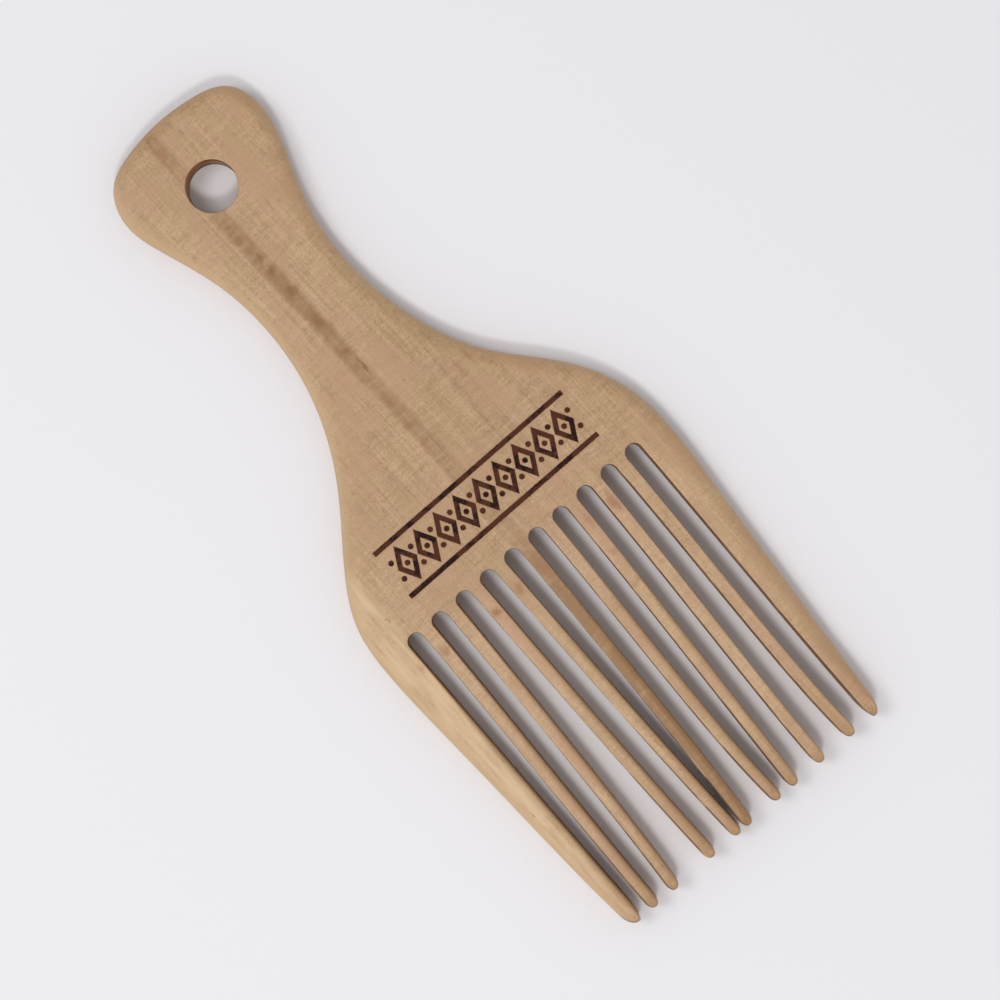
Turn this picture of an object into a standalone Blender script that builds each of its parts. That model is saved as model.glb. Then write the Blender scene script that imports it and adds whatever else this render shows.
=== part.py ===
"""Wide-tooth hair pick sawn from one board of pale hardwood.

The comb lies flat on the XY plane, teeth towards -Y and hanging hole towards
+Y, with the origin under the middle of its bounding box. The board is one
piece of wood, so it is one solid. A blank with a rounded rim is made first.
Its front end is then rounded in thickness, the slots are sawn and the hanging
hole is drilled.
"""
import math

import bmesh
import bpy
import numpy as np

MM = 0.001

# The board, and the rounding that runs all the way round its rim
board_length = 174.2 * MM
board_thickness = 8.0 * MM
rim_radius = 3.2 * MM
rim_steps = 4
sharp_angle = math.radians(30)

# Handle: its flared head, its neck and its hanging hole
head_width = 34.2 * MM
head_from_end = 10.1 * MM
neck_width = 20.2 * MM
neck_from_end = 44.1 * MM
hole_diameter = 10.0 * MM
hole_from_end = 16.2 * MM
hole_sides = 48

# Palm: the broad part between the neck and the teeth
palm_width = 71.3 * MM
palm_from_tips = 67.1 * MM

# Teeth, and the slots sawn between them
tooth_count = 11
tooth_root_width = 2.65 * MM
tooth_tip_width = 2.4 * MM
slot_width = 3.4 * MM
slot_length = 69.45 * MM
teeth_offset = -0.1 * MM
nose_length = 2.1 * MM
nose_flat = 0.4 * MM
slot_steps = 9
arc_steps = 8
nose_steps = 5

# The two outer teeth carry the rim on one side and end in a longer nose
left_tips_half_width = 32.2 * MM
right_tips_half_width = 30.4 * MM
outer_nose_length = 4.4 * MM
outer_nose_lead = 0.3 * MM
outer_tip_inset = 1.0 * MM

# The front end, rounded in thickness over the last stretch of the teeth
front_rounding_length = 5.0 * MM
front_thickness = 3.0 * MM
front_steps = 5

# How far a cutter runs past what it cuts, and how solids are made of outlines
overrun = 6.0 * MM
weld_distance = 0.001 * MM
cap_slope = 0.9

# Half outlines from the head end to the tips. Each stretch lists (along,
# across) shares: along runs from 0 at the start of the stretch to 1 at its
# end, and across from 0 to 1 between the half widths at its two ends.
left_head_shares = ((0.05, 0.31), (0.15, 0.58), (0.34, 0.81))
right_head_shares = ((0.05, 0.41), (0.15, 0.675), (0.34, 0.865))
left_neck_shares = ((0.27, 0.26), (0.62, 0.81))
right_neck_shares = ((0.27, 0.26), (0.62, 0.83))
left_palm_shares = ((0.22, 0.075), (0.46, 0.335), (0.655, 0.683), (0.845, 0.95))
right_palm_shares = ((0.22, 0.08), (0.46, 0.342), (0.655, 0.737), (0.845, 0.96))
left_side_shares = ((0.22, 0.11), (0.5, 0.38), (0.88, 0.79))
right_side_shares = ((0.22, 0.17), (0.5, 0.46), (0.88, 0.865))
spline_steps = 5

# Every tooth has moved a little as the wood dried. Each one leans sideways by
# its lean share of the slot pitch, and its end hooks by its hook share.
lean_shares = (-0.04, -0.39, -0.40, -0.01, 0.05, -0.37, -0.46, -0.55, -0.52, -0.36, -0.26)
hook_shares = (0.02, 0.08, -0.08, 0.08, 0.09, -0.05, 0.27, 0.04, 0.12, 0.23, 0.09)
lean_power = 1.3
hook_power = 6

# Finish
wood_color = (0.478, 0.309, 0.183, 1.0)
wood_roughness = 0.55

# Sizes that follow from the ones above
half_thickness = board_thickness / 2
slot_pitch = slot_width + tooth_root_width
head_end_y = board_length / 2
tips_y = -board_length / 2
root_y = tips_y + slot_length
front_y = tips_y - overrun
last_tooth = tooth_count - 1


def clear_scene():
    for existing in list(bpy.data.objects):
        bpy.data.objects.remove(existing, do_unlink=True)


def new_collection(name):
    collection = bpy.data.collections.new(name)
    bpy.context.scene.collection.children.link(collection)
    return collection


def wood_material():
    material = bpy.data.materials.new("pale_hardwood")
    material.use_nodes = True
    shader = material.node_tree.nodes["Principled BSDF"]
    shader.inputs["Base Color"].default_value = wood_color
    shader.inputs["Roughness"].default_value = wood_roughness
    shader.inputs["Metallic"].default_value = 0.0
    return material


def natural_spline(knots, steps):
    """Smooth curve through the knots, with the given number of steps a span.

    Each coordinate is a natural cubic spline of the length along the chords.
    """
    knots = np.asarray(knots, dtype=float)
    chords = np.hypot(*np.diff(knots, axis=0).T)
    slopes = np.diff(knots, axis=0) / chords[:, None]
    system = np.eye(len(knots))
    target = np.zeros(knots.shape)
    for i in range(1, len(knots) - 1):
        system[i, i - 1 : i + 2] = chords[i - 1], 2 * (chords[i - 1] + chords[i]), chords[i]
        target[i] = 6 * (slopes[i] - slopes[i - 1])
    bend = np.linalg.solve(system, target)
    right = (np.arange(steps) / steps)[:, None]
    left = 1 - right
    points = []
    for i, chord in enumerate(chords):
        line = left * knots[i] + right * knots[i + 1]
        cubic = (left**3 - left) * bend[i] + (right**3 - right) * bend[i + 1]
        points.append(line + cubic * chord**2 / 6)
    points.append(knots[-1:])
    return np.concatenate(points)


def between(start, end, shares):
    """Points at (along, across) shares of the stretch from start to end."""
    along, across = np.array(shares).T
    x = start[0] + across * (end[0] - start[0])
    y = start[1] + along * (end[1] - start[1])
    return np.stack((x, y), axis=1)


def half_outline(head_shares, neck_shares, palm_shares, side_shares, tips_half_width):
    """Knots of one edge from the head end to the tips, x as the half width."""
    head_end = np.array([0.0, head_end_y])
    head = np.array([head_width / 2, head_end_y - head_from_end])
    neck = np.array([neck_width / 2, head_end_y - neck_from_end])
    palm = np.array([palm_width / 2, tips_y + palm_from_tips])
    tips = np.array([tips_half_width, tips_y])
    stretches = (
        [head_end],
        between(head_end, head, head_shares),
        [head],
        between(head, neck, neck_shares),
        [neck],
        between(neck, palm, palm_shares),
        [palm],
        between(palm, tips, side_shares),
        [tips],
    )
    return np.concatenate(stretches)


def blank_outline():
    """Outline of the blank, which runs past the tips to a straight front."""
    left = half_outline(
        left_head_shares, left_neck_shares, left_palm_shares, left_side_shares, left_tips_half_width
    )
    right = half_outline(
        right_head_shares,
        right_neck_shares,
        right_palm_shares,
        right_side_shares,
        right_tips_half_width,
    )
    left[:, 0] *= -1
    edges = natural_spline(np.concatenate((left[::-1], right[1:])), spline_steps)
    front = [(right_tips_half_width, front_y), (-left_tips_half_width, front_y)]
    return np.concatenate((edges, front))


def slot_centre_x(index):
    """Middle of a slot at its root. Slot 0 lies between the first two teeth."""
    return teeth_offset + (index - (tooth_count - 2) / 2) * slot_pitch


def sawn_edge_x(tooth, side, along):
    """x of a tooth's left (side -1) or right (side 1) sawn edge.

    Along is 0 at the root and 1 at the tip. The tooth narrows evenly, leans
    by a power of along and hooks by a higher one.
    """
    slot = tooth if side > 0 else tooth - 1
    root_edge = slot_centre_x(slot) - side * slot_width / 2
    narrowing = along * (tooth_root_width - tooth_tip_width) / 2
    lean = lean_shares[tooth] * along**lean_power
    hook = hook_shares[tooth] * along**hook_power
    return root_edge - side * narrowing + slot_pitch * (lean + hook)


def tip_x(tooth):
    if tooth == 0:
        return sawn_edge_x(tooth, 1, 1.0) - outer_tip_inset
    if tooth == last_tooth:
        return sawn_edge_x(tooth, -1, 1.0) + outer_tip_inset
    return (sawn_edge_x(tooth, -1, 1.0) + sawn_edge_x(tooth, 1, 1.0)) / 2


def tooth_nose_length(tooth):
    return outer_nose_length if tooth in (0, last_tooth) else nose_length


def nose(tooth, side, start_x):
    """Quarter of an ellipse from start_x on one edge of a tooth to its tip."""
    turn = np.linspace(0.0, math.pi / 2, nose_steps + 1)
    end_x = tip_x(tooth) + side * nose_flat / 2
    x = end_x + (start_x - end_x) * np.cos(turn)
    y = tips_y + tooth_nose_length(tooth) * (1 - np.sin(turn))
    return np.stack((x, y), axis=1)


def outer_nose(tooth, side, tips_half_width):
    """Nose on the rim side of an outer tooth, starting just outside the rim."""
    return nose(tooth, side, side * (tips_half_width + outer_nose_lead))


def sawn_edge(tooth, side):
    """One sawn edge of a tooth, from the end of the root arc to the tip."""
    nose_starts = 1 - tooth_nose_length(tooth) / slot_length
    arc_ends = slot_width / 2 / slot_length
    along = np.linspace(arc_ends, nose_starts, slot_steps + 1)[:-1]
    edge = np.stack((sawn_edge_x(tooth, side, along), root_y - along * slot_length), axis=1)
    return np.concatenate((edge, nose(tooth, side, sawn_edge_x(tooth, side, nose_starts))))


def slot_outline(slot):
    """A slot from the tip on its left, over its root arc, to the tip on its right."""
    left = sawn_edge(slot, 1)[::-1]
    right = sawn_edge(slot + 1, -1)
    middle = (left[-1] + right[0]) / 2
    reach = (right[0, 0] - left[-1, 0]) / 2
    turn = np.linspace(math.pi, 0.0, arc_steps + 1)[1:-1]
    x = middle[0] + reach * np.cos(turn)
    y = middle[1] + slot_width / 2 * np.sin(turn)
    return np.concatenate((left, np.stack((x, y), axis=1), right))


def saw_outline():
    """All that is sawn away: the slots, and what lies outside and past the tips."""
    left_nose = outer_nose(0, -1, left_tips_half_width)
    right_nose = outer_nose(last_tooth, 1, right_tips_half_width)[::-1]
    outside_x = palm_width / 2 + overrun
    beyond_y = front_y - overrun
    left_end = [(-outside_x, beyond_y), (-outside_x, left_nose[0, 1])]
    right_end = [(outside_x, right_nose[-1, 1]), (outside_x, beyond_y)]
    slots = [slot_outline(slot) for slot in range(tooth_count - 1)]
    return np.concatenate([left_end, left_nose, *slots, right_nose, right_end])


def side_outline():
    """Side view of the finished board as (y, z), with its rounded front end.

    Behind the rounding it stands clear of the board. The rounding is a quarter
    of an ellipse above and below, down to the thickness at the tips.
    """
    turn = np.linspace(math.pi / 2, 0.0, front_steps + 1)
    y = tips_y + front_rounding_length * (1 - np.cos(turn))
    z = front_thickness / 2 + (half_thickness - front_thickness / 2) * np.sin(turn)
    clear_z = half_thickness + overrun
    corners = [(head_end_y + overrun, clear_z), (tips_y + front_rounding_length, clear_z)]
    upper = np.concatenate((corners, np.stack((y, z), axis=1)))
    lower = upper[::-1] * (1, -1)
    return np.concatenate((upper, lower))


def extruded_outline(name, outline, half_depth, collection):
    """Solid of a closed flat outline, as a mesh with its caps welded on."""
    curve = bpy.data.curves.new(name, "CURVE")
    curve.dimensions = "2D"
    curve.fill_mode = "BOTH"
    curve.extrude = half_depth
    spline = curve.splines.new("POLY")
    spline.points.add(len(outline) - 1)
    spline.use_cyclic_u = True
    for point, (x, y) in zip(spline.points, outline):
        point.co = (x, y, 0.0, 1.0)
    guide = bpy.data.objects.new(name + "_outline", curve)
    collection.objects.link(guide)
    evaluated = guide.evaluated_get(bpy.context.evaluated_depsgraph_get())
    mesh = bpy.data.meshes.new_from_object(evaluated)
    bpy.data.objects.remove(guide, do_unlink=True)
    shape = bmesh.new()
    shape.from_mesh(mesh)
    bmesh.ops.remove_doubles(shape, verts=shape.verts, dist=weld_distance)
    bmesh.ops.recalc_face_normals(shape, faces=shape.faces)
    for facing in (-1, 1):
        cap = [face for face in shape.faces if face.normal.z * facing > cap_slope]
        bmesh.ops.dissolve_faces(shape, faces=cap)
    shape.to_mesh(mesh)
    shape.free()
    solid = bpy.data.objects.new(name, mesh)
    collection.objects.link(solid)
    return solid


def mark_as_cutter(cutter):
    cutter.hide_render = True
    cutter.display_type = "WIRE"
    return cutter


def slot_saw(cutters):
    saw = extruded_outline("slot_saw", saw_outline(), half_thickness + overrun, cutters)
    saw.location.z = half_thickness
    return mark_as_cutter(saw)


def front_gauge(cutters):
    """Prism along X with the side view of the finished board."""
    gauge = extruded_outline("front_gauge", side_outline(), palm_width, cutters)
    gauge.rotation_euler = (math.pi / 2, 0.0, math.pi / 2)
    gauge.location.z = half_thickness
    return mark_as_cutter(gauge)


def hole_drill(cutters):
    mesh = bpy.data.meshes.new("hole_drill")
    shape = bmesh.new()
    bmesh.ops.create_cone(
        shape,
        cap_ends=True,
        segments=hole_sides,
        radius1=hole_diameter / 2,
        radius2=hole_diameter / 2,
        depth=board_thickness + 2 * overrun,
    )
    shape.to_mesh(mesh)
    shape.free()
    drill = bpy.data.objects.new("hole_drill", mesh)
    drill.location = (0.0, head_end_y - hole_from_end, half_thickness)
    cutters.objects.link(drill)
    return mark_as_cutter(drill)


def weight_rims(mesh):
    """Give full bevel weight to the edges between a cap and the wall."""
    shape = bmesh.new()
    shape.from_mesh(mesh)
    weight = shape.edges.layers.float.new("bevel_weight_edge")
    for edge in shape.edges:
        facing = [abs(face.normal.z) > cap_slope for face in edge.link_faces]
        edge[weight] = float(facing[0] != facing[1])
    shape.to_mesh(mesh)
    shape.free()


def rounded_blank(parts):
    """The board sawn to its outline, with both rims rounded over."""
    board = extruded_outline("comb_board", blank_outline(), half_thickness, parts)
    board.location.z = half_thickness
    weight_rims(board.data)
    bevel = board.modifiers.new("rim_rounding", "BEVEL")
    bevel.width = rim_radius
    bevel.segments = rim_steps
    bevel.limit_method = "WEIGHT"
    return board


def cut(board, cutter, operation):
    boolean = board.modifiers.new(cutter.name, "BOOLEAN")
    boolean.operation = operation
    boolean.object = cutter


def main():
    clear_scene()
    parts = new_collection("hair_pick")
    cutters = new_collection("cutters")
    board = rounded_blank(parts)
    board.data.materials.append(wood_material())
    cut(board, front_gauge(cutters), "INTERSECT")
    cut(board, slot_saw(cutters), "DIFFERENCE")
    cut(board, hole_drill(cutters), "DIFFERENCE")
    board.data.shade_smooth()
    board.data.set_sharp_from_angle(angle=sharp_angle)


if __name__ == "__main__":
    main()
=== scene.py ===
"""Looks of a one-piece wooden hair pick: the board's fine surface, its wood and a plain studio.

The file is laid out as an add-on. Its main function registers the panel and the
operators, and calls the operators in order.
"""
import math
from typing import NamedTuple

import bmesh
import bpy
import numpy as np
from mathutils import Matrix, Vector


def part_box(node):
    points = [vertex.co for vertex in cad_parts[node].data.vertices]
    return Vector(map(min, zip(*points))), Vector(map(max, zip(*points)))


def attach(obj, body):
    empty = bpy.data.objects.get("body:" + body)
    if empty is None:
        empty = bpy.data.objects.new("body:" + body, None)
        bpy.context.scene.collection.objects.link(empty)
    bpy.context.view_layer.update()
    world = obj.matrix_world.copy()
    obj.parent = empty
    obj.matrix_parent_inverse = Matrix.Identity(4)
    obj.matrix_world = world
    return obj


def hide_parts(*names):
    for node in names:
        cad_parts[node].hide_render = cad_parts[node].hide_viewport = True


bl_info = {
    "name": "Wooden Hair Pick",
    "version": (1, 0, 0),
    "blender": (4, 5, 0),
    "location": "3D View > Sidebar > Hair Pick",
    "description": "Builds a one-piece wide-tooth wooden hair pick in a plain studio",
    "category": "Object",
}

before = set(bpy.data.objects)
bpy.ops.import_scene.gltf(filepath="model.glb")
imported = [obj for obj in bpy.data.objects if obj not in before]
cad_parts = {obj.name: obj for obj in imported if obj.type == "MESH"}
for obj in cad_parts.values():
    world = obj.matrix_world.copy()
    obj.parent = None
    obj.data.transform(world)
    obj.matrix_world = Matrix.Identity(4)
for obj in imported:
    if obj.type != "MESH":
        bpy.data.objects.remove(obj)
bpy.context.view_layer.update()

MM = 0.001
board_low, board_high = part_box("comb_board")
HALF_THICKNESS = (board_high.z - board_low.z) / 2
MIDDLE_Z = (board_high.z + board_low.z) / 2
HEAD_END_Y = board_high.y
TIPS_Y = board_low.y

# The teeth: how far each one leans and hooks sideways, in shares of the slot
# pitch, and the powers of the place along the tooth by which it does so. The
# slots' middle stands TEETH_OFFSET to one side of the board's
TOOTH_COUNT = 11
LAST_TOOTH = TOOTH_COUNT - 1
LEAN_SHARES = np.array((-0.04, -0.39, -0.40, -0.01, 0.05, -0.37, -0.46, -0.55, -0.52, -0.36, -0.26))
HOOK_SHARES = np.array((0.02, 0.08, -0.08, 0.08, 0.09, -0.05, 0.27, 0.04, 0.12, 0.23, 0.09))
LEAN_POWER = 1.3
HOOK_POWER = 6
TEETH_OFFSET = -0.1 * MM

# The long edges of the teeth, left and right: the radius that sanding gave
# them, and the shares of the tooth's length where it starts and is complete.
# SANDED_SHARES is how much of it each tooth has. A slot is wider above than
# below, by ROOT_TAPER at its root and by TIP_TAPER at the tips
SANDED_RADII = (0.7 * MM, 1.2 * MM)
SANDED_FROM = (0.5, 0.05)
SANDED_WHOLE = (0.95, 0.5)
SANDED_SHARES = np.array((1.3, 1.0, 1.0, 1.0, 1.0, 1.0, 1.0, 0.8, 0.35, 0.35, 0.6))
ROOT_TAPER = 0.05 * MM
TIP_TAPER = 0.08 * MM

# The noses of the teeth. Those of the two outer teeth are longer and end
# OUTER_TIP_INSET from the inner edge. Over OUTER_BLEND_LENGTH before them the
# rim's rounding falls from the first to the second share of the tooth's width
NOSE_LENGTH = 2.1 * MM
NOSE_RADIUS = 1.0 * MM
OUTER_NOSE_LENGTH = 4.4 * MM
OUTER_TIP_INSET = 1.0 * MM
OUTER_BLEND_LENGTH = 14 * MM
OUTER_ROUND_SHARES = (0.88, 0.44)

# Half outlines from the head end to the tips, as (along, across) shares of
# each stretch between the widths that the panel shows
HEAD_SHARES = (((0.05, 0.31), (0.15, 0.58), (0.34, 0.81)), ((0.05, 0.41), (0.15, 0.675), (0.34, 0.865)))
NECK_SHARES = (((0.27, 0.26), (0.62, 0.81)), ((0.27, 0.26), (0.62, 0.83)))
PALM_SHARES = (
    ((0.22, 0.075), (0.46, 0.335), (0.655, 0.683), (0.845, 0.95)),
    ((0.22, 0.08), (0.46, 0.342), (0.655, 0.737), (0.845, 0.96)),
)
SIDE_SHARES = (((0.22, 0.11), (0.5, 0.38), (0.88, 0.79)), ((0.22, 0.17), (0.5, 0.46), (0.88, 0.865)))
TIPS_HALF_WIDTHS = (32.2 * MM, 30.4 * MM)

# How finely the surface is divided
SPLINE_STEPS = 60
TOOTH_STEPS = 46
NOSE_STEPS = 8
ARC_STEPS = 14
TOOTH_COLUMNS = 3
PALM_ROWS = 62
HEAD_STEPS = 110
HOLE_RINGS = 6
ROUNDING_STEPS = 8
WALL_STEPS = 3

# The flat strip beside every rounding, the wall left where the board is thin
# and the flat face left between the two roundings of a tooth
SUPPORT_WIDTH = 0.06 * MM
WALL_LEFT = 0.12 * MM
FLAT_LEFT = 0.45 * MM

# The head's flat face reaches so many hole diameters down from the hole's
# middle. The next two are powers: one by which the root arcs fade out of the
# palm's rows, and one by which cutness rises over a rounding
HEAD_REACH = 1.15
LIFT_FADE = 3
SCORCH_FADE = 3
MERGE_DISTANCE = 0.0001 * MM

# The wood, in millimetres. A noise is given as cells to a millimetre across
# and along the grain, then its detail and roughness where they aren't the
# usual ones. A fade is given as the values where it starts and ends, then its
# top where that isn't 1. A swing is how far a noise moves a value either way
ROOTS_Y = -17.65
TONE_MIDDLE = 0.54
TONE_SLOPE = 0.003
PALE_TEETH_FADE = (-17.0, -27.0, 0.26)
BROWN_TEETH_FADE = (-62.0, -87.0, 0.3)
BROWN_ENDS_FADE = (-86.0, -87.1, 0.5)
# Across, along, and how far the layer swings the tone
GRAIN_LAYERS = (
    (0.05, 0.02, 0.22),
    (0.55, 0.012, 0.34),
    (2.4, 0.06, 0.52),
    (0.22, 0.9, 0.36),
    (0.45, 2.4, 0.36),
    (2.6, 2.2, 0.64),
)
ROSY_NOISE = (0.14, 0.06, 4.0, 0.6)
ROSY_FADE = (0.44, 0.64, 0.65)
KHAKI_NOISE = (0.3, 0.03, 3.0)
KHAKI_FADE = (0.5, 0.68, 0.38)
FLECK_LINES_NOISE = (0.8, 0.012, 1.0)
FLECK_LINES_FADE = (0.50, 0.60)
FLECK_DASHES_NOISE = (1.5, 0.55)
FLECK_DASHES_FADE = (0.60, 0.72)
FLECK_SHARE = 0.45

# The sapwood beside the left rim
SAPWOOD_FADE = (-27.6, -30.2)
SAPWOOD_NOISE = (0.05, 0.06)
SAPWOOD_SWING = 2.0
SAPWOOD_LINES_NOISE = (0.9, 0.12, 3.0, 0.6)
SAPWOOD_LINES_FADE = (0.78, 0.32)

# The heart streak crosses the board's middle at STREAK_OFFSET and leans by
# STREAK_LEAN. Its strength is STREAK_PLAIN, more on the neck and the teeth and
# less on the head
STREAK_OFFSET = 0.70
STREAK_LEAN = 0.0285
STREAK_PLAIN = 0.42
STREAK_NECK_FADE = (20.0, 30.0, 0.4)
STREAK_HEAD_FADE = (60.0, 68.0, 0.3)
STREAK_TEETH_FADE = (-14.0, -23.0, 0.5)
STREAK_WANDER_NOISE = (0.0, 0.06)
STREAK_WANDER = 0.6
STREAK_EDGE_NOISE = (0.3, 1.3)
STREAK_EDGE_SWING = 0.7
STREAK_EDGE_FADE = (2.3, 0.8)
# Noise and swing of the lines along the streak, the bars across it and the patches
STREAK_FIGURE = (((1.3, 0.03), 0.5), ((0.25, 0.9), 0.7), ((0.1, 0.1, 3.0, 0.6), 0.7))

# A mark's edge wanders by MARK_SWING, with MARK_CELLS to a millimetre
MARK_CELLS = 0.7
MARK_DETAIL = 4.0
MARK_SWING = (0.75, 1.1)
MARK_FADE = (1.4, 0.1)
# Marks: x, y, half width, half length and strength
STREAK_MARKS = (
    (-2.9, 62.9, 0.8, 0.7, 0.5),
    (-3.1, 59.8, 1.2, 1.0, 0.5),
    (-2.0, 55.0, 0.6, 1.2, 0.85),
    (-1.9, 51.3, 0.8, 1.3, 0.9),
    (-1.7, 46.2, 1.0, 1.4, 0.85),
    (-1.5, 38.6, 1.0, 1.9, 0.9),
    (-1.5, 30.6, 1.2, 1.0, 0.7),
    (-0.7, 26.7, 0.35, 2.3, 0.9),
    (-1.3, 18.3, 1.2, 1.8, 0.4),
    (-1.4, 12.5, 1.3, 0.9, 0.3),
)
BROWN_MARKS = (
    (-3.1, 81.6, 0.8, 1.6, 0.65),
    (-3.3, 85.6, 0.6, 0.6, 0.7),
    (2.3, 82.7, 0.25, 0.8, 0.5),
    (2.4, 79.0, 0.25, 1.2, 0.3),
    (-3.0, 75.3, 0.9, 0.7, 0.6),
    (14.4, 73.0, 0.35, 1.6, 0.5),
    (15.6, 77.5, 0.3, 1.0, 0.4),
    (2.5, 59.3, 0.5, 0.8, 0.35),
    (6.1, 61.0, 0.25, 2.0, 0.4),
    (7.75, 60.6, 0.25, 0.7, 0.5),
    (2.8, 46.8, 0.45, 0.7, 0.45),
    (6.4, 29.2, 0.3, 0.8, 0.4),
    (7.2, 22.4, 0.22, 1.8, 0.45),
    (8.7, 22.0, 0.22, 2.0, 0.5),
    (-7.6, 29.0, 0.5, 0.6, 0.35),
    (3.4, 19.6, 0.4, 0.4, 0.4),
    (12.4, 13.8, 0.6, 1.5, 0.3),
    (-15.6, 15.5, 0.45, 2.0, 0.5),
    (15.3, 15.4, 0.4, 2.2, 0.6),
    (-15.9, 3.5, 0.35, 0.35, 0.8),
    (-8.0, -15.8, 1.7, 0.35, 0.4),
    (-3.9, -15.0, 1.5, 0.4, 0.4),
    (-29.9, -23.7, 0.6, 1.1, 0.4),
    (-33.6, -38.7, 0.5, 0.9, 0.4),
    (-24.3, -24.3, 1.0, 1.3, 0.7),
    (-12.25, -25.2, 1.0, 1.2, 0.95),
    (-6.2, -24.5, 1.1, 1.8, 0.75),
    (-0.2, -24.2, 1.2, 2.6, 0.85),
    (-0.3, -35.0, 1.2, 0.6, 0.45),
    (12.4, -23.4, 0.7, 1.7, 0.45),
    (18.2, -23.8, 0.9, 2.4, 0.8),
    (24.3, -32.0, 0.6, 1.6, 0.35),
    (12.3, -31.0, 1.0, 0.5, 0.4),
    (18.0, -38.2, 1.3, 0.5, 0.35),
    (12.0, -38.0, 1.2, 0.5, 0.35),
    (5.9, -39.5, 1.2, 1.2, 0.22),
    (-18.3, -37.5, 0.6, 2.0, 0.3),
    (-12.0, -45.6, 0.5, 2.4, 0.4),
    (0.1, -42.0, 0.9, 2.0, 0.5),
    (0.1, -56.6, 0.7, 0.9, 0.9),
    (0.2, -59.6, 0.7, 0.8, 0.85),
    (0.3, -81.5, 0.6, 1.0, 0.6),
)

# The sanded rims and the cut walls. Facing is a part of the direction that
# the surface faces, and height is above the lower face
# Rims take a warmer colour; its paler part is painted sheen of the lamps on the rounding
RIM_FACING = (0.999, 0.5, 0.35)
# Painted highlight: surfaces that face left, towards the lamps, take the pale sapwood colour
LIT_SIDE_HIGHLIGHT_FACING = (-0.1, -0.8, 0.5)
WALL_SHARE = 0.75
END_GRAIN_FACING = (0.55, 1.0)
END_GRAIN_SHARE = 0.35
END_GRAIN_ON_WALLS = 0.45
SOOT_NOISE = (0.8, 0.25, 3.0)
SOOT_SWING = 2.4
SOOT_HEIGHT = (2.8, 0.6)
SOOT_SHARE = 0.4
SOOT_FACING = (0.4, -0.4, 0.45)
ARRIS_CUTNESS = (0.0, 0.10)
ARRIS_FACING = (-0.05, -0.45)
ARRIS_HEIGHT = (5.0, 7.0, 0.85)
ARRIS_NOISE = (0.15, 0.12, 3.0)
ARRIS_PATCHES = (0.28, 0.5)

# The burnt band: its middle, the height of the outer dots as a share of half
# a lozenge, how ragged and how soft its edges are, and the singed wood beside
BAND_CENTRE_X = 0.8
DOT_HEIGHT_SHARE = 0.62
RAGGED = 0.11
RAGGED_CELLS = 5.0
BURN_SOFTNESS = 0.06
SINGE_REACH = 0.7
SINGE_SHARE = 0.16
UPPER_FACE_Z = 7.9
CHAR_NOISE = (0.35, 0.35, 4.0, 0.7)
CHAR_FADE = (0.44, 0.62)
RASTER_NOISE = (0.6, 5.5, 1.0)
RASTER_SWING = 0.5

# Gloss and relief. Cut and burnt wood is rougher and reflects less
BURN_DEPTH = 0.06
PORE_NOISE = (3.5, 0.9, 3.0, 0.6)
PORE_DEPTH = 0.012
PORE_ROUGHNESS = 0.1
DULL_ROUGHNESS = 0.3
DULL_SPECULAR = -0.35
OILED_SPECULAR = 0.5

# The studio, in metres. A lamp has its name, direction, elevation in degrees,
# size and power. The floor is matt paper, FLOOR_CLOUDS are its cloudy patches
# to a metre. The camera looks straight down, turned by CAMERA_TURN degrees,
# and its sensor is given in millimetres
LAMP_DISTANCE = 1.15
LAMPS = (
    ("lamp_left", (-0.754, 0.657), 64.4, 0.45, 3.0),
    ("lamp_front", (-0.657, -0.754), 66.7, 0.20, 3.17),
)
SKY_STRENGTH = 0.58
FLOOR_REACH = 1.5
FLOOR_CLOUDS = 6.0
PAPER_ROUGHNESS = 0.9
CAMERA_PLACE = (2.11 * MM, -9.5 * MM)
CAMERA_TURN = -41.08
SENSOR_WIDTH = 36.0


def distance(name, description, default):
    """A length that the panel shows."""
    return bpy.props.FloatProperty(
        name=name, description=description, default=default, min=0.0, subtype="DISTANCE", unit="LENGTH"
    )


def color(name, description, default):
    """A colour that the panel shows."""
    return bpy.props.FloatVectorProperty(
        name=name, description=description, default=default, min=0.0, max=1.0, size=3, subtype="COLOR"
    )


class HairPickShape(bpy.types.PropertyGroup):
    """Sizes of the board."""

    rim_radius: distance("Rim rounding", "Radius of the outer rim's rounding", 3.2 * MM)
    arris_radius: distance("Arris", "Radius of the eased edges of slots and hole", 0.22 * MM)
    head_width: distance("Head width", "Widest part of the flared head", 34.2 * MM)
    head_from_end: distance("Head from end", "Distance of the widest part from the head end", 10.1 * MM)
    neck_width: distance("Neck width", "Narrowest part of the handle", 20.2 * MM)
    neck_from_end: distance("Neck from end", "Distance of the neck from the head end", 44.1 * MM)
    palm_width: distance("Palm width", "Widest part of the comb", 71.3 * MM)
    palm_from_tips: distance("Palm from tips", "Distance of the widest part from the tips", 67.1 * MM)
    hole_diameter: distance("Hole", "Diameter of the hanging hole", 10.0 * MM)
    hole_from_end: distance("Hole from end", "Distance of the hole's middle from the head end", 16.2 * MM)
    tooth_root_width: distance("Tooth root", "Width of a tooth at its root", 2.65 * MM)
    tooth_tip_width: distance("Tooth tip", "Width of a tooth before its nose", 2.4 * MM)
    slot_width: distance("Slot width", "Width of a slot at its root", 3.4 * MM)
    slot_length: distance("Slot length", "Length of a slot from its root to the tips", 69.45 * MM)
    front_length: distance("Front rounding", "Length over which the tips get thinner", 5.0 * MM)
    tip_thickness: distance("Tip thickness", "Thickness at the very tips", 3.0 * MM)


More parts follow.
